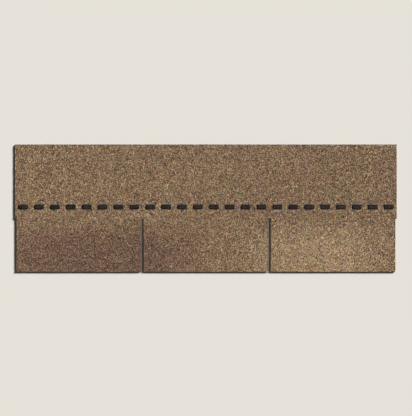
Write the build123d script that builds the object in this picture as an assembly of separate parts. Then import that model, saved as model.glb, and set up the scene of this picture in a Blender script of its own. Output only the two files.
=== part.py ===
from build123d import *
import os

# Three-tab asphalt shingle: one strip, lying flat with its granule side up.
#
# The strip is a single die-cut sheet. Its lower part is cut into tabs, which are the part that
# stays in view on a roof, and its upper part is the headlap, which the next course covers.
# A row of sealant dashes on the face bonds the tabs of the next course. A release film on the
# back keeps the sealant of one strip off the next while they are stacked.
#
# Millimetres. +X runs along the strip, +Y from the butt edge up to the head edge, and +Z out of
# the granule side. The origin is the centre of the underside, where the strip lies.

# Sheet
strip_length = 914.4  # 36 in, along the course
strip_height = 304.8  # 12 in, from the butt edge to the head edge
sheet_thickness = 3.2  # 1/8 in, measured over the granules
tab_count = 3

# Cutouts between the tabs
cutout_width = 6.35  # 1/4 in
cutout_depth = 127.0  # 5 in, which is also how much of a course stays in view
cutout_corner_radius = 1.2  # at the inner end, where the die turns

# Sealant dashes on the face
dash_length = 25.4
dash_width = 12.7
dash_height = 0.9
dash_gap = 12.7
dash_corner_radius = 3.0  # seen from above, where the hot bead runs out
dash_flank_angle = 45.0  # degrees from upright, as the bead's sides slump before they set
nail_band_height = 22.0  # clear strip between the cutouts and the dashes, for the nails

# Release film on the back
film_width = 25.4
film_thickness = 0.1
film_inset = 0.1  # how far the film's face lies inside the back of the sheet

# Places that follow from the sizes
butt_edge_y = -strip_height / 2
tab_pitch = strip_length / tab_count
sealant_from_butt = cutout_depth + nail_band_height + dash_width / 2
# Strips are stacked head to tail, so the film sits where the next strip's sealant comes.
film_from_butt = strip_height - sealant_from_butt


def cutout():
    """One slot between two tabs, open at the butt edge and rounded at its inner end."""
    slot = Rectangle(cutout_width, cutout_depth, align=(Align.CENTER, Align.MIN))
    inner_corners = slot.vertices().group_by(Axis.Y)[-1]
    return fillet(inner_corners, cutout_corner_radius)


def film_track():
    """The shallow track that the film is pressed into, cut out of the back."""
    depth = film_inset + film_thickness
    track = Box(strip_length, film_width, depth, align=(Align.CENTER, Align.CENTER, Align.MIN))
    return Pos(0, butt_edge_y + film_from_butt, 0) * track


def shingle_sheet():
    """The die-cut sheet. Each end takes half a cutout, which two butted strips make whole."""
    outline = Rectangle(strip_length, strip_height)
    for boundary in range(tab_count + 1):
        x = -strip_length / 2 + boundary * tab_pitch
        outline -= Pos(x, butt_edge_y) * cutout()
    return extrude(outline, sheet_thickness) - film_track()


def sealant_dash():
    """One bead of sealant, lying on the granules, whose sides lean in towards its top."""
    footprint = RectangleRounded(dash_length, dash_width, dash_corner_radius)
    return extrude(footprint, dash_height, taper=dash_flank_angle)


def sealant_dashes():
    """The row of dashes, as many as fit along the strip, centred on it."""
    dash_pitch = dash_length + dash_gap
    dash_count = int((strip_length + dash_gap) // dash_pitch)
    row = Pos(0, butt_edge_y + sealant_from_butt, sheet_thickness)
    return [
        row * place * sealant_dash()
        for place in GridLocations(dash_pitch, 1, dash_count, 1)
    ]


def release_film():
    """The film strip, cut off flush with both ends of the sheet."""
    film = Box(
        strip_length,
        film_width,
        film_thickness,
        align=(Align.CENTER, Align.CENTER, Align.MIN),
    )
    return Pos(0, butt_edge_y + film_from_butt, film_inset) * film


os.makedirs("parts", exist_ok=True)
export_step(shingle_sheet(), "parts/shingle_sheet.step")
export_step(Compound(children=sealant_dashes()), "parts/sealant_dashes.step")
export_step(release_film(), "parts/release_film.step")
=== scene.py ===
"""The looks of a three-tab asphalt shingle: one strip lying flat, seen from straight above.

The sheet is shown as a core of asphalt with its cut edges and sanded back, and a coat of
separate granules pressed into its face. The coat is made in panels, one for each tab and one for
the headlap above each tab, so that no mesh gets too large. Neighbouring panels share one lattice
and meet without a step. Sizes are in metres, and X, Y and Z are those of the frame.
"""
import math
import random

import bmesh
import bpy
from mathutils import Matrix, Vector, noise


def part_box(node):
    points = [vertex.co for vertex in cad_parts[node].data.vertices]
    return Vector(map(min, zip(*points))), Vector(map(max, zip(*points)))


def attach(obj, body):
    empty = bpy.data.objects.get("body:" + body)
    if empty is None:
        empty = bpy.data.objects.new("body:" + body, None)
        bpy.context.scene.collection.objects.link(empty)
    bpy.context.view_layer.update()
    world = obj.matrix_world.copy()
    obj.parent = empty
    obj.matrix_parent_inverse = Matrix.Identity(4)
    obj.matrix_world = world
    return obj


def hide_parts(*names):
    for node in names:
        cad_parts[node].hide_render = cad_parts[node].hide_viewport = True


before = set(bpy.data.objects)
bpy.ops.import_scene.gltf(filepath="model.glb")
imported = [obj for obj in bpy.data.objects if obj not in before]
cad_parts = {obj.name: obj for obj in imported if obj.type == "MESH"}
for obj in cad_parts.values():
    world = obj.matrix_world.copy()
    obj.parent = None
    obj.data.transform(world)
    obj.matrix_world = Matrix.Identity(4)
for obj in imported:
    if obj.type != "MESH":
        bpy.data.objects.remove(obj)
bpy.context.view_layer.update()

MM = 0.001
HAIR = 0.001 * MM  # what lies nearer than this counts as touching

# The strip, as the frame has it
SHEET_LOW, SHEET_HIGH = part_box("shingle_sheet")
DASHES_LOW, DASHES_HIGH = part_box("sealant_dashes")
TAB_NAMES = ("left", "middle", "right")
TAB_PITCH = (SHEET_HIGH.x - SHEET_LOW.x) / len(TAB_NAMES)
CUTOUT_WIDTH = 6.35 * MM
CUTOUT_DEPTH = 127.0 * MM
CUTOUT_TOP = SHEET_LOW.y + CUTOUT_DEPTH

# The granule coat. Roofing granules are sieved to between 0.6 and 1.7 mm.
GRANULE_WIDTH = 1.46 * MM
GRANULE_ROW = 1.26 * MM
GRANULE_BED = 2.20 * MM  # height of the asphalt that they are pressed into
HEXAGON_PULL = GRANULE_ROW / 6  # what turns a brick of the lattice into a hexagon
JOINT_LOW, JOINT_HIGH = 2.30 * MM, 2.72 * MM
CREST_LOW, CREST_HIGH = 2.78 * MM, SHEET_HIGH.z
JOINT_WANDER = 0.30  # share of a granule's width that its corners stray by
CREST_WANDER = 0.20
CORNER_LAYER = 7.5  # layer of the noise that the corners stray by
SHALLOW_JOINT = 0.22  # how much less a joint counts as one where its granules meet high up, so that it shows less black asphalt and less painted shade
DOUBLE_CHIPS = 0.07  # share of the joints left out, so that two granules make a larger one
EDGE_RAGGED = 0.12 * MM  # how far the die leaves broken granules back from the cut
CUT_RISE = 0.35 * MM  # the die cuts through granules, so the coat stands higher at its edge
TAB_SEED, HEADLAP_SEED = 20, 40  # of the left panels; each next one adds 1
CHART_SHARE = 0.97  # how much of the map a panel's face takes up
RIM_GROWTH = 1.02  # how much further out the foot of its rim lies there

# The colours of the granule blend, each with the tone from which it is taken
BLEND = (
    (0.00, "#4c3527"),
    (0.14, "#5a4332"),
    (0.32, "#75573c"),
    (0.50, "#846d54"),
    (0.66, "#9e7e5b"),
    (0.82, "#aa9577"),
    (0.95, "#c5ac89"),
)
ASPHALT = "#1d1a18"  # in the joints and under the granules; in the deeper joints it is also painted shade
CHIP_DIM, CHIP_BRIGHT = 0.87, 1.53  # between these a chip's shade multiplies its colour
MOTTLE_REACH = 0.08  # range of tones that the mottling shifts the blend by
BATCH_REACH = (0.26, 0.26, 0.42)  # range of red, green and blue over the firing batches
ASPHALT_FROM, ASPHALT_FULL = 0.82, 0.97  # of the way from a chip's crest out to its joint, over which the asphalt's black, partly painted shade, comes in
FACET_TO, FACET_GONE = 0.50, 0.56  # of the same way
FACET_TILT = 0.41  # the most that a facet rises for each unit along
SCATTER = 37.0  # times this, the ends of tone and shade are two more random numbers

# Shade drops of the granule blend, as on the strip in the photograph. For each: its middle along
# the strip, and how far from there it holds and is gone. Upwards from the butt edge both hold and
# end alike.
DARK_DROP = (-0.255, 0.120, 0.275)
LIGHT_DROP = (0.262, 0.060, 0.215)
DROP_HOLDS = 0.055
DROP_ENDS = 0.140
DARK_SHIFT, LIGHT_SHIFT = -0.20, 0.21  # how far each drop shifts the blend's tones
DARK_BLUE, LIGHT_BLUE = 0.15, -0.03  # what each drop adds to the blue, as a share of it

# The glass mat, as it shows in a cut edge
MAT_LOW = 1.0 * MM
MAT_WANDER = 0.5 * MM  # how far above that it comes
MAT_CLEAR, MAT_GONE = 0.12 * MM, 0.30 * MM  # how far to each side its fibres show

# The sealant dashes
DASH_COUNT = 24
DASH_LENGTH = 25.4 * MM
BEAD_FOOT = GRANULE_BED + 0.1 * MM
BEAD_GRID = (34, 17)  # faces along and across; one is odd, so that no point lies at the middle
BEAD_SQUARENESS = 6  # power of the rounded oblong that a bead is in plan
RIM_INSET, RIM_WANDER = 0.06, 0.06  # of a bead's half size
RIM_WAVES = 2.2  # how quickly the rim wanders
RIM_LAYER = 0.3  # layer of the noise that it wanders by
BEAD_STRIDE = 9  # from one bead to the next in that noise, so that no two are alike
SHOULDER, CROWN, LUMPS = 0.42, 0.42, 0.16  # shares of a bead's height
LUMP_SPACING = 1.9 * MM  # the lumps are the granules beneath

# Studio
FLOOR_REACH = 60.0
KEY_FROM = (3.6, 2.7, 1.5)
KEY_STRENGTH = 10.4
KEY_SPREAD = 10.0  # degrees across, as seen from the strip
ROOM_LOW, ROOM_HIGH = 0.88, 0.03  # brightness of the room at the floor and overhead

# Camera
PHOTO_WIDTH, PHOTO_HEIGHT = 412, 416
STRIP_SHARE = 0.925  # of the picture's width
LENS = 100.0
SENSOR = 36.0

# Sockets of the Mix node, which go by number because their names repeat
COLOUR_A, COLOUR_B, MIXED_COLOUR = 6, 7, 2
VECTOR_A, VECTOR_B, MIXED_VECTOR = 4, 5, 1


def srgb(code):
    """A hex colour such as #7f6750 as the linear colour that a shader takes."""
    parts = (int(code[k : k + 2], 16) / 255 for k in (1, 3, 5))
    return (*(c / 12.92 if c <= 0.04045 else ((c + 0.055) / 1.055) ** 2.4 for c in parts), 1.0)


def per_mm(spacing):
    """The scale of a noise pattern whose grains are this many millimetres across."""
    return 1.0 / (spacing * MM)


def node(tree, kind, inputs=None, **settings):
    """Adds one shader node with its settings, and fills its inputs with values or links."""
    made = tree.nodes.new("ShaderNode" + kind)
    for name, value in settings.items():
        setattr(made, name, value)
    for name, value in (inputs or {}).items():
        if isinstance(value, bpy.types.NodeSocket):
            tree.links.new(value, made.inputs[name])
        else:
            made.inputs[name].default_value = value
    return made


def new_material(name, **constants):
    """A material with one Principled shader, whose constant values sit on its own sockets."""
    material = bpy.data.materials.new(name)
    material.use_nodes = True
    tree = material.node_tree
    shader = tree.nodes["Principled BSDF"]
    for socket, value in constants.items():
        shader.inputs[socket.replace("_", " ")].default_value = value
    return material, tree


def wire(tree, colour, roughness, bump):
    """Links a material's colour mix, roughness and bump to its shader."""
    shader = tree.nodes["Principled BSDF"]
    tree.links.new(colour.outputs[MIXED_COLOUR], shader.inputs["Base Color"])
    tree.links.new(roughness.outputs[0], shader.inputs["Roughness"])
    tree.links.new(bump.outputs[0], shader.inputs["Normal"])


def shade_drop(tree, along, up, middle, holds, ends):
    """A shade drop: 1 at its middle by the butt edge, fading out along the strip and up it."""
    away = node(tree, "Math", {0: along, 1: middle}, operation="SUBTRACT")
    away = node(tree, "Math", {0: away.outputs[0]}, operation="ABSOLUTE")
    fades = []
    for distance, full, gone in (
        (away.outputs[0], holds, ends),
        (up, SHEET_LOW.y + DROP_HOLDS, SHEET_LOW.y + DROP_ENDS),
    ):
        reach = {"Value": distance, "From Min": full, "From Max": gone, "To Min": 1.0, "To Max": 0.0}
        fades.append(node(tree, "MapRange", reach, interpolation_type="SMOOTHSTEP").outputs[0])
    return node(tree, "Math", {0: fades[0], 1: fades[1]}, operation="MULTIPLY").outputs[0]


def chip_colour(tree, place, tone, shade):
    """The colours of the chips. A chip's tone picks its colour from the blend, and its shade makes
    it dimmer or brighter. The shade drops and a faint mottling shift the whole blend."""
    beside, up, _ = node(tree, "SeparateXYZ", {0: place}).outputs
    dark = shade_drop(tree, beside, up, *DARK_DROP)
    light = shade_drop(tree, beside, up, *LIGHT_DROP)

    # The mottling comes from the blend drum, in patches of about 40 mm.
    mottle = node(
        tree,
        "TexNoise",
        {"Vector": place, "Scale": per_mm(40.0), "Detail": 3.0, "Roughness": 0.55},
    )
    shift = node(
        tree,
        "Math",
        {0: mottle.outputs["Fac"], 1: MOTTLE_REACH, 2: -MOTTLE_REACH / 2},
        operation="MULTIPLY_ADD",
    )
    # The light drop is yellower than the rest, and the dark one greyer.
    blue = 1.0
    for drop, drop_shift, drop_blue in ((dark, DARK_SHIFT, DARK_BLUE), (light, LIGHT_SHIFT, LIGHT_BLUE)):
        shift = node(tree, "Math", {0: drop, 1: drop_shift, 2: shift.outputs[0]}, operation="MULTIPLY_ADD")
        blue = node(tree, "Math", {0: drop, 1: drop_blue, 2: blue}, operation="MULTIPLY_ADD").outputs[0]

    pick = node(tree, "Math", {0: shift.outputs[0], 1: tone}, operation="ADD", use_clamp=True)
    chip = node(tree, "ValToRGB", {"Fac": pick.outputs[0]})
    steps = chip.color_ramp
    steps.interpolation = "CONSTANT"
    while len(steps.elements) < len(BLEND):
        steps.elements.new(0.5)
    for element, (start, code) in zip(steps.elements, BLEND):
        element.position = start
        element.color = srgb(code)

    # Firing batches differ a little in hue, and lie in patches of about 18 mm.
    lift = node(tree, "MapRange", {"Value": shade, "To Min": CHIP_DIM, "To Max": CHIP_BRIGHT})
    tint = node(tree, "CombineXYZ", {0: 1.0, 1: 1.0, 2: blue})
    batch = node(tree, "TexNoise", {"Vector": place, "Scale": per_mm(18.0), "Detail": 2.0})
    batch = node(
        tree,
        "VectorMath",
        {0: batch.outputs["Color"], 1: BATCH_REACH, 2: [1.0 - reach / 2 for reach in BATCH_REACH]},
        operation="MULTIPLY_ADD",
    )
    for change in (lift, tint, batch):
        chip = node(tree, "VectorMath", {0: chip.outputs[0], 1: change.outputs[0]}, operation="MULTIPLY")
    return chip.outputs[0]


def facet_normal(tree, tone, shade, joint):
    """The way the chips face. The press roll leaves each one lying on its bed with a broad facet
    up, tilted its own way, and out by the joint it slopes as its mesh does."""
    tilts = []
    for own_number in (tone, shade):
        spun = node(tree, "Math", {0: own_number, 1: SCATTER}, operation="MULTIPLY")
        spun = node(tree, "Math", {0: spun.outputs[0]}, operation="FRACT")
        lean = {0: spun.outputs[0], 1: 2 * FACET_TILT, 2: -FACET_TILT}
        tilts.append(node(tree, "Math", lean, operation="MULTIPLY_ADD").outputs[0])
    facet = node(tree, "CombineXYZ", {0: tilts[0], 1: tilts[1], 2: 1.0})
    facet = node(tree, "VectorMath", {0: facet.outputs[0]}, operation="NORMALIZE")
    slope = node(tree, "NewGeometry").outputs["Normal"]
    on_facet = node(
        tree,
        "MapRange",
        {"Value": joint, "From Min": FACET_TO, "From Max": FACET_GONE, "To Min": 1.0, "To Max": 0.0},
    )
    facing = node(
        tree,
        "Mix",
        {"Factor": on_facet.outputs[0], VECTOR_A: slope, VECTOR_B: facet.outputs[0]},
        data_type="VECTOR",
    )
    return facing.outputs[MIXED_VECTOR]


def granule_coat():
    """Crushed rock with a ceramic colour fired on: dull, hard chips in a blend of browns, each with a
    broad facet. Black asphalt shows in the joints between the chips, the more so the deeper the joint,
    which is partly painted shade."""
    material, tree = new_material("ceramic_coated_granules", IOR=1.55, Specular_IOR_Level=0.3)
    place = node(tree, "TexCoord").outputs["Object"]
    tone, shade, joint = (
        node(tree, "Attribute", attribute_name=name).outputs["Fac"]
        for name in ("granule_tone", "granule_shade", "granule_joint")
    )
    chip = chip_colour(tree, place, tone, shade)
    # Black asphalt in the joints, more of it the deeper a joint lies: partly the real asphalt, partly
    # painted shade.
    asphalt_and_painted_shade = node(
        tree,
        "MapRange",
        {"Value": joint, "From Min": ASPHALT_FROM, "From Max": ASPHALT_FULL},
        interpolation_type="SMOOTHSTEP",
    )
    colour = node(
        tree,
        "Mix",
        {"Factor": asphalt_and_painted_shade.outputs[0], COLOUR_A: chip, COLOUR_B: srgb(ASPHALT)},
        data_type="RGBA",
    )
    rough = node(tree, "MapRange", {"Value": shade, "To Min": 0.92, "To Max": 0.68})
    # Broken rock is rough on a scale of about half a millimetre.
    grit = node(tree, "TexNoise", {"Vector": place, "Scale": per_mm(0.45), "Detail": 2.0})
    facing = facet_normal(tree, tone, shade, joint)
    bump = node(
        tree,
        "Bump",
        {"Height": grit.outputs["Fac"], "Strength": 0.6, "Distance": 0.12 * MM, "Normal": facing},
    )
    wire(tree, colour, rough, bump)
    return material


def asphalt_bed():
    """The coating asphalt under the granules, black and out of sight."""
    material, _ = new_material("coating_asphalt", Base_Color=srgb(ASPHALT), Roughness=0.7, IOR=1.6)
    return material


def cut_edge():
    """Mineral-filled asphalt, sheared by the die: dull black with pale filler specks and, about
    half way up, the ends of the glass mat."""
    material, tree = new_material("sheared_filled_asphalt", IOR=1.6, Specular_IOR_Level=0.2)
    place = node(tree, "TexCoord").outputs["Object"]
    specks = node(tree, "TexNoise", {"Vector": place, "Scale": per_mm(0.6), "Detail": 3.0}).outputs["Fac"]
    speck = node(tree, "MapRange", {"Value": specks, "From Min": 0.56, "From Max": 0.70})
    filler = node(
        tree,
        "Mix",
        {"Factor": speck.outputs[0], COLOUR_A: srgb("#1b1816"), COLOUR_B: srgb("#4a443d")},
        data_type="RGBA",
    )
    height = node(tree, "SeparateXYZ", {0: place}).outputs["Z"]
    wander = node(tree, "TexNoise", {"Vector": place, "Scale": per_mm(3.0), "Detail": 2.0}).outputs["Fac"]
    middle = node(tree, "Math", {0: wander, 1: MAT_WANDER, 2: MAT_LOW}, operation="MULTIPLY_ADD")
    away = node(tree, "Math", {0: height, 1: middle.outputs[0]}, operation="SUBTRACT")
    away = node(tree, "Math", {0: away.outputs[0]}, operation="ABSOLUTE").outputs[0]
    mat = node(
        tree,
        "MapRange",
        {"Value": away, "From Min": MAT_CLEAR, "From Max": MAT_GONE, "To Min": 0.4, "To Max": 0.0},
    )
    colour = node(
        tree,
        "Mix",
        {"Factor": mat.outputs[0], COLOUR_A: filler.outputs[MIXED_COLOUR], COLOUR_B: srgb("#8a8072")},
        data_type="RGBA",
    )
    rough = node(tree, "MapRange", {"Value": specks, "To Min": 0.45, "To Max": 0.85})
    bump = node(tree, "Bump", {"Height": specks, "Strength": 0.7, "Distance": 0.2 * MM})
    wire(tree, colour, rough, bump)
    return material


def sanded_back():
    """Asphalt back coating dusted with fine sand, so that stacked strips don't stick: dark grey
    and gritty, thinly dusted in faint streaks along the machine, where the asphalt shows black."""
    material, tree = new_material("sanded_asphalt_back", IOR=1.55)
    place = node(tree, "TexCoord").outputs["Object"]
    # The sand is about 0.3 mm. It is drawn at twice that.
    sand = node(tree, "TexVoronoi", {"Vector": place, "Scale": per_mm(0.6)})
    grain = node(tree, "SeparateColor", {0: sand.outputs["Color"]}).outputs[0]
    along = node(tree, "Mapping", {"Vector": place, "Scale": (0.12, 1.0, 1.0)})
    streaks = node(tree, "TexNoise", {"Vector": along.outputs[0], "Scale": per_mm(18.0), "Detail": 4.0})
    streak_depth = 0.7  # against the grains' own differences
    cover = node(
        tree,
        "Math",
        {0: streaks.outputs["Fac"], 1: streak_depth, 2: grain},
        operation="MULTIPLY_ADD",
    ).outputs[0]
    sanded = node(tree, "MapRange", {"Value": cover, "From Min": 0.35, "From Max": 1.35})
    colour = node(
        tree,
        "Mix",
        {"Factor": sanded.outputs[0], COLOUR_A: srgb("#1c1a18"), COLOUR_B: srgb("#6c655b")},
        data_type="RGBA",
    )
    rough = node(tree, "MapRange", {"Value": cover, "To Min": 0.6, "To Max": 0.95})
    bump = node(
        tree,
        "Bump",
        {"Height": sand.outputs["Distance"], "Strength": 0.6, "Distance": 0.2 * MM},
        invert=True,
    )
    wire(tree, colour, rough, bump)
    return material


def hot_melt_sealant():
    """Polymer-modified asphalt laid hot: black, softly shiny where it ran smooth, and dulled by
    parting dust where it set against the granules."""
    material, tree = new_material("hot_melt_asphalt_sealant", IOR=1.5, Specular_IOR_Level=0.15)
    place = node(tree, "TexCoord").outputs["Object"]
    dust = node(
        tree,
        "TexNoise",
        {"Vector": place, "Scale": per_mm(5.0), "Detail": 4.0, "Roughness": 0.65},
    ).outputs["Fac"]
    dusty = node(tree, "MapRange", {"Value": dust, "From Min": 0.42, "From Max": 0.72})
    colour = node(
        tree,
        "Mix",
        {"Factor": dusty.outputs[0], COLOUR_A: srgb("#171513"), COLOUR_B: srgb("#38332f")},
        data_type="RGBA",
    )
    rough = node(
        tree,
        "MapRange",
        {"Value": dust, "From Min": 0.3, "From Max": 0.7, "To Min": 0.55, "To Max": 0.85},
    )
    pits = node(tree, "TexNoise", {"Vector": place, "Scale": per_mm(1.3), "Detail": 2.0})
    bump = node(tree, "Bump", {"Height": pits.outputs["Fac"], "Strength": 0.5, "Distance": 0.3 * MM})
    wire(tree, colour, rough, bump)
    return material


def polyester_film():
    """Clear polyester film over black asphalt: dark, glossy, a little milky where it has lifted,
    with fine wrinkles from the roll."""
    material, tree = new_material("polyester_release_film", IOR=1.57)
    place = node(tree, "TexCoord").outputs["Object"]
    drawn = node(tree, "Mapping", {"Vector": place, "Scale": (0.25, 1.0, 1.0)})
    haze = node(
        tree,
        "TexNoise",
        {"Vector": drawn.outputs[0], "Scale": per_mm(6.0), "Detail": 4.0, "Distortion": 0.6},
    ).outputs["Fac"]
    lifted = node(tree, "MapRange", {"Value": haze, "From Min": 0.45, "From Max": 0.75})
    colour = node(
        tree,
        "Mix",
        {"Factor": lifted.outputs[0], COLOUR_A: srgb("#3a3735"), COLOUR_B: srgb("#6b6863")},
        data_type="RGBA",
    )
    rough = node(tree, "MapRange", {"Value": haze, "To Min": 0.10, "To Max": 0.34})
    bump = node(tree, "Bump", {"Height": haze, "Strength": 0.5, "Distance": 0.2 * MM})
    wire(tree, colour, rough, bump)
    return material


def add_piece(name, bm, materials, stands_for):
    """Turns a finished bmesh into a piece of the object and says what it rides on and replaces."""
    mesh = bpy.data.meshes.new(name)
    bm.to_mesh(mesh)
    bm.free()
    for material in materials:
        mesh.materials.append(material)
    piece = bpy.data.objects.new(name, mesh)
    bpy.context.scene.collection.objects.link(piece)
    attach(piece, "root")
    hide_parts(stands_for)


def asphalt_core(edge, back):
    """The sheet below its granules, cut from a merged copy of the CAD sheet, whose face is
    lowered to the bed. Faces that look down wear the back coating, and the rest the cut edge."""
    bm = bmesh.new()
    bm.from_mesh(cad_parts["shingle_sheet"].data)
    bmesh.ops.remove_doubles(bm, verts=bm.verts, dist=HAIR)
    for vert in bm.verts:
        if vert.co.z > SHEET_HIGH.z - HAIR:
            vert.co.z = GRANULE_BED
    bmesh.ops.dissolve_limit(bm, angle_limit=math.radians(0.5), verts=bm.verts, edges=bm.edges)
    bmesh.ops.triangulate(bm, faces=bm.faces)
    bm.normal_update()
    for face in bm.faces:
        face.material_index = 1 if face.normal.z < -0.5 else 0
    add_piece("asphalt_core", bm, (edge, back), "shingle_sheet")


def lattice_lines(stops, step):
    """Places of the lattice lines. Each stop is one, and each stretch between stops is divided
    into an even number of equal steps."""
    places = [stops[0]]
    for start, end in zip(stops, stops[1:]):
        count = 2 * max(1, round((end - start) / step / 2))
        places += [start + (end - start) * k / count for k in range(1, count + 1)]
    return places


class Lattice:
    """The rows of granules that all panels share. Columns are half a granule wide."""

    def __init__(self):
        half_cut = CUTOUT_WIDTH / 2
        stops = []
        for k in range(len(TAB_NAMES)):
            start = SHEET_LOW.x + k * TAB_PITCH
            stops += [start, start + half_cut, start + TAB_PITCH - half_cut]
        stops.append(SHEET_HIGH.x)
        self.x = lattice_lines(stops, GRANULE_WIDTH / 2)
        self.y = lattice_lines([SHEET_LOW.y, CUTOUT_TOP, SHEET_HIGH.y], GRANULE_ROW)

    def column(self, x):
        return min(range(len(self.x)), key=lambda i: abs(self.x[i] - x))

    def row(self, y):
        return min(range(len(self.y)), key=lambda j: abs(self.y[j] - y))


def in_cutout(x, y):
    """Whether a point lies in one of the slots or on its edge."""
    beside = abs((x - SHEET_LOW.x + TAB_PITCH / 2) % TAB_PITCH - TAB_PITCH / 2)
    return beside < CUTOUT_WIDTH / 2 + HAIR and y < CUTOUT_TOP + HAIR


def on_sheet(x, y):
    """Whether a point lies well inside the sheet's outline."""
    inside = SHEET_LOW.x < x < SHEET_HIGH.x and SHEET_LOW.y < y < SHEET_HIGH.y
    return inside and not in_cutout(x, y)


def joint_corner(lattice, i, j):
    """Where the corner of a granule lies: on the lattice, pulled into a rough hexagon, with a
    wander that is the same for every panel that has this corner. A corner on the outline keeps
    to it, apart from the die's ragged cut."""
    x, y = lattice.x[i], lattice.y[j]
    # The noise has one value for each whole cell, so it is read at the middle of one.
    wander = noise.cell_vector(Vector((i + 0.5, j + 0.5, CORNER_LAYER)))
    pulled = HEXAGON_PULL * (1 if (i + j) % 2 == 0 else -1)
    dx = (wander.x - 0.5) * JOINT_WANDER * GRANULE_WIDTH
    dy = pulled + (wander.y - 0.5) * 2 * JOINT_WANDER * GRANULE_WIDTH
    z = JOINT_LOW + (JOINT_HIGH - JOINT_LOW) * wander.z
    # An edge that runs up the strip holds a corner's x, and one along the strip holds its y.
    step = 2 * EDGE_RAGGED
    on_side = not (on_sheet(x - step, y) and on_sheet(x + step, y))
    on_end = not (on_sheet(x, y - step) and on_sheet(x, y + step))
    if on_side:
        inward = 1 if on_sheet(x + step, y) or x < SHEET_LOW.x + step else -1
        dx = inward * wander.x * EDGE_RAGGED
    if on_end:
        inward = 1 if on_sheet(x, y + step) or y < SHEET_LOW.y + step else -1
        dy = inward * wander.y * EDGE_RAGGED
    if on_side or on_end:
        z += CUT_RISE
    return Vector((x + dx, y + dy, z))


def brick_bond(lattice, x_range, y_range):
    """The joints of one panel: a grid whose every second upright edge goes, so that two cells
    make a granule, in a brick bond."""
    first_i, last_i = (lattice.column(x) for x in x_range)
    first_j, last_j = (lattice.row(y) for y in y_range)
    columns, rows = last_i - first_i, last_j - first_j
    bm = bmesh.new()
    bmesh.ops.create_grid(bm, x_segments=columns, y_segments=rows, size=1.0)
    places = {}
    for vert in bm.verts:
        i = first_i + round((vert.co.x + 1) / 2 * columns)
        j = first_j + round((vert.co.y + 1) / 2 * rows)
        places[vert] = (i, j)
    spare = []
    for edge in bm.edges:
        (i, j), (other_i, other_j) = (places[v] for v in edge.verts)
        if i == other_i and not edge.is_boundary and (i + min(j, other_j)) % 2:
            spare.append(edge)
    for vert, (i, j) in places.items():
        vert.co = joint_corner(lattice, i, j)
    bmesh.ops.dissolve_edges(bm, edges=spare, use_verts=False, use_face_split=False)
    return bm


def make_double_chips(bm, chance):
    """Crushed rock comes in all sizes: here and there two neighbours make one larger chip."""
    paired = set()
    doubled = []
    for edge in bm.edges:
        if edge.is_boundary or chance.random() > DOUBLE_CHIPS:
            continue
        if paired.isdisjoint(edge.link_faces):
            paired.update(edge.link_faces)
            doubled.append(edge)
    bmesh.ops.dissolve_edges(bm, edges=doubled, use_verts=False, use_face_split=False)


def raise_crests(bm, chance):
    """Gives each chip a tone, a shade and a crest. A joint counts as 1 where it is deep and its asphalt
    shows, black and partly painted shade, as a little less where it is shallow, and as 0 at a crest."""
    tone = bm.faces.layers.float.new("granule_tone")
    shade = bm.faces.layers.float.new("granule_shade")
    joint = bm.verts.layers.float.new("granule_joint")
    # Deeper joints get a higher value and so more asphalt black, which is partly painted shade.
    for vert in bm.verts:
        vert[joint] = 1.0 - SHALLOW_JOINT * (vert.co.z - JOINT_LOW) / (JOINT_HIGH - JOINT_LOW)
    for face in bm.faces:
        face[tone] = chance.random()
        face[shade] = chance.random()
    crests = bmesh.ops.poke(bm, faces=bm.faces, offset=0.0, center_mode="MEAN")["verts"]
    reach = CREST_WANDER * GRANULE_WIDTH
    for vert in crests:
        vert[joint] = 0.0
        vert.co.x += chance.uniform(-reach, reach)
        vert.co.y += chance.uniform(-reach, reach)
        vert.co.z = chance.uniform(CREST_LOW, CREST_HIGH)


def close_coat(bm, x_range, y_range):
    """Closes a panel with a rim down to the bed and a face under it. Its map is the view from
    above, and the rim goes round the outside of it."""
    centre = Vector((sum(x_range) / 2, sum(y_range) / 2))
    span = Vector((x_range[1] - x_range[0], y_range[1] - y_range[0]))
    chart = bm.loops.layers.uv.new("OFBake")

    def chart_place(point, growth=1.0):
        across = (point.x - centre.x) / span.x * CHART_SHARE * growth
        upwards = (point.y - centre.y) / span.y * CHART_SHARE * growth
        return Vector((0.5 + across, 0.5 + upwards))

    for face in bm.faces:
        for loop in face.loops:
            loop[chart].uv = chart_place(loop.vert.co)
    rim = [edge for edge in bm.edges if edge.is_boundary]
    wall = bmesh.ops.extrude_edge_only(bm, edges=rim)["geom"]
    foot = {v for v in wall if isinstance(v, bmesh.types.BMVert)}
    for face in (f for f in wall if isinstance(f, bmesh.types.BMFace)):
        for loop in face.loops:
            loop[chart].uv = chart_place(loop.vert.co, RIM_GROWTH if loop.vert in foot else 1.0)
    for vert in foot:
        vert.co.z = GRANULE_BED
    under = bmesh.ops.edgeloop_fill(bm, edges=[edge for edge in bm.edges if edge.is_boundary])
    for face in under["faces"]:
        face.material_index = 1
    bmesh.ops.recalc_face_normals(bm, faces=bm.faces)


def granule_panel(name, lattice, x_range, y_range, finishes, seed):
    """One panel of the coat: bricks pulled into hexagons, each raised to a crest."""
    chance = random.Random(seed)
    bm = brick_bond(lattice, x_range, y_range)
    make_double_chips(bm, chance)
    raise_crests(bm, chance)
    close_coat(bm, x_range, y_range)
    add_piece(name, bm, finishes, "shingle_sheet")


def granule_panels():
    """A panel on each tab and one on the headlap above it."""
    lattice = Lattice()
    finishes = (granule_coat(), asphalt_bed())
    tab_y = (SHEET_LOW.y, CUTOUT_TOP)
    headlap_y = (CUTOUT_TOP, SHEET_HIGH.y)
    for k, tab in enumerate(TAB_NAMES):
        start = SHEET_LOW.x + k * TAB_PITCH
        end = start + TAB_PITCH
        tab_x = (start + CUTOUT_WIDTH / 2, end - CUTOUT_WIDTH / 2)
        headlap_x = (start, end)
        granule_panel("tab_granules_" + tab, lattice, tab_x, tab_y, finishes, TAB_SEED + k)
        granule_panel("headlap_granules_" + tab, lattice, headlap_x, headlap_y, finishes, HEADLAP_SEED + k)


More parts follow.
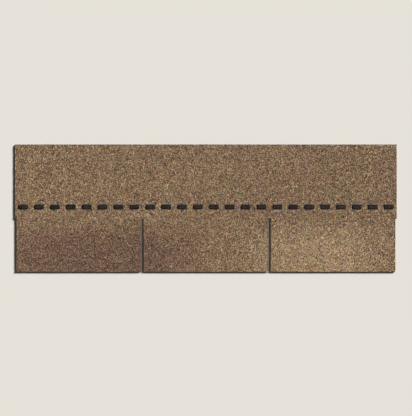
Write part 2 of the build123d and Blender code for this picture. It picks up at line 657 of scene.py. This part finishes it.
def sealant_beads():
    """The row of dashes as beads that ran a little before they set: rounded in plan, crowned
    across, and lumpy from the granules beneath."""
    bm = bmesh.new()
    along, across = BEAD_GRID
    width = DASHES_HIGH.y - DASHES_LOW.y
    pitch = (DASHES_HIGH.x - DASHES_LOW.x - DASH_LENGTH) / (DASH_COUNT - 1)
    middle_y = (DASHES_LOW.y + DASHES_HIGH.y) / 2
    top = DASHES_HIGH.z
    for k in range(DASH_COUNT):
        middle_x = DASHES_LOW.x + DASH_LENGTH / 2 + k * pitch
        grid = bmesh.ops.create_grid(bm, x_segments=along, y_segments=across, size=1.0)["verts"]
        for vert in grid:
            # A square of points is drawn into a rounded oblong, with a rim that isn't quite straight.
            u, v = vert.co.x, vert.co.y
            out = max(abs(u), abs(v))
            corner = (abs(u) ** BEAD_SQUARENESS + abs(v) ** BEAD_SQUARENESS) ** (1 / BEAD_SQUARENESS) / out
            plan = Vector((u / corner, v / corner, 0.0))
            rough = noise.noise(Vector((u * RIM_WAVES + BEAD_STRIDE * k, v * RIM_WAVES, RIM_LAYER)))
            drawn_in = 1.0 - (RIM_INSET + RIM_WANDER * rough) * out**4
            x = middle_x + plan.x * DASH_LENGTH / 2 * drawn_in
            y = middle_y + plan.y * width / 2 * drawn_in
            crown = 1.0 - out**8
            lump = noise.noise(Vector((x, y, 0.0)) / LUMP_SPACING)
            height = BEAD_FOOT + (top - BEAD_FOOT) * (SHOULDER + CROWN * crown + LUMPS * lump)
            vert.co = (x, y, min(height, top))
    rim = [edge for edge in bm.edges if edge.is_boundary]
    wall = bmesh.ops.extrude_edge_only(bm, edges=rim)["geom"]
    for vert in (v for v in wall if isinstance(v, bmesh.types.BMVert)):
        vert.co.z = BEAD_FOOT
    bmesh.ops.holes_fill(bm, edges=[edge for edge in bm.edges if edge.is_boundary], sides=0)
    bmesh.ops.recalc_face_normals(bm, faces=bm.faces)
    for face in bm.faces:
        face.smooth = face.normal.z > 0.2
    add_piece("sealant_beads", bm, (hot_melt_sealant(),), "sealant_dashes")


def dress_film():
    """The release film keeps its CAD solid and gets its finish."""
    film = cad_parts["release_film"]
    film.data.materials.clear()
    film.data.materials.append(polyester_film())


def pale_floor():
    """A plain floor of pale matt paper."""
    bm = bmesh.new()
    bmesh.ops.create_grid(bm, x_segments=1, y_segments=1, size=FLOOR_REACH)
    mesh = bpy.data.meshes.new("floor")
    bm.to_mesh(mesh)
    bm.free()
    floor = bpy.data.objects.new("floor", mesh)
    bpy.context.scene.collection.objects.link(floor)
    paper, _ = new_material(
        "matt_paper_floor", Base_Color=srgb("#d9d5cd"), Roughness=1.0, Specular_IOR_Level=0.1
    )
    mesh.materials.append(paper)


def key_light():
    """One broad soft lamp, far off to the upper right."""
    light = bpy.data.lights.new("key_light", "SUN")
    light.energy = KEY_STRENGTH
    light.angle = math.radians(KEY_SPREAD)
    lamp = bpy.data.objects.new("key_light", light)
    lamp.location = KEY_FROM
    lamp.rotation_euler = (-Vector(KEY_FROM)).to_track_quat("-Z", "Y").to_euler()
    bpy.context.scene.collection.objects.link(lamp)


def pale_room():
    """A room with pale walls, which the floor fades into, and a dark ceiling, so that little light
    falls straight down into the cutouts."""
    world = bpy.data.worlds.new("room")
    world.use_nodes = True
    tree = world.node_tree
    wall = tree.nodes["Background"]
    wall.inputs["Color"].default_value = srgb("#f4f2ee")
    looking = node(tree, "TexCoord").outputs["Generated"]
    upward = node(tree, "SeparateXYZ", {0: looking}).outputs["Z"]
    brightness = node(
        tree,
        "MapRange",
        {"Value": upward, "From Min": 0.0, "From Max": 0.5, "To Min": ROOM_LOW, "To Max": ROOM_HIGH},
    )
    tree.links.new(brightness.outputs[0], wall.inputs["Strength"])
    bpy.context.scene.world = world


def overhead_camera():
    """Straight above the strip's middle, as in the photograph."""
    data = bpy.data.cameras.new("overhead")
    data.lens = LENS
    data.sensor_width = SENSOR
    seen_width = (SHEET_HIGH.x - SHEET_LOW.x) / STRIP_SHARE
    seen_height = seen_width * PHOTO_HEIGHT / PHOTO_WIDTH
    camera = bpy.data.objects.new("overhead", data)
    camera.location = (0.0, 0.0, seen_height * LENS / SENSOR)
    data.clip_end = 2 * FLOOR_REACH
    bpy.context.scene.collection.objects.link(camera)
    bpy.context.scene.camera = camera


overhead_camera()
pale_floor()
key_light()
pale_room()
bpy.context.scene.view_settings.view_transform = "Standard"
asphalt_core(cut_edge(), sanded_back())
granule_panels()
sealant_beads()
dress_film()
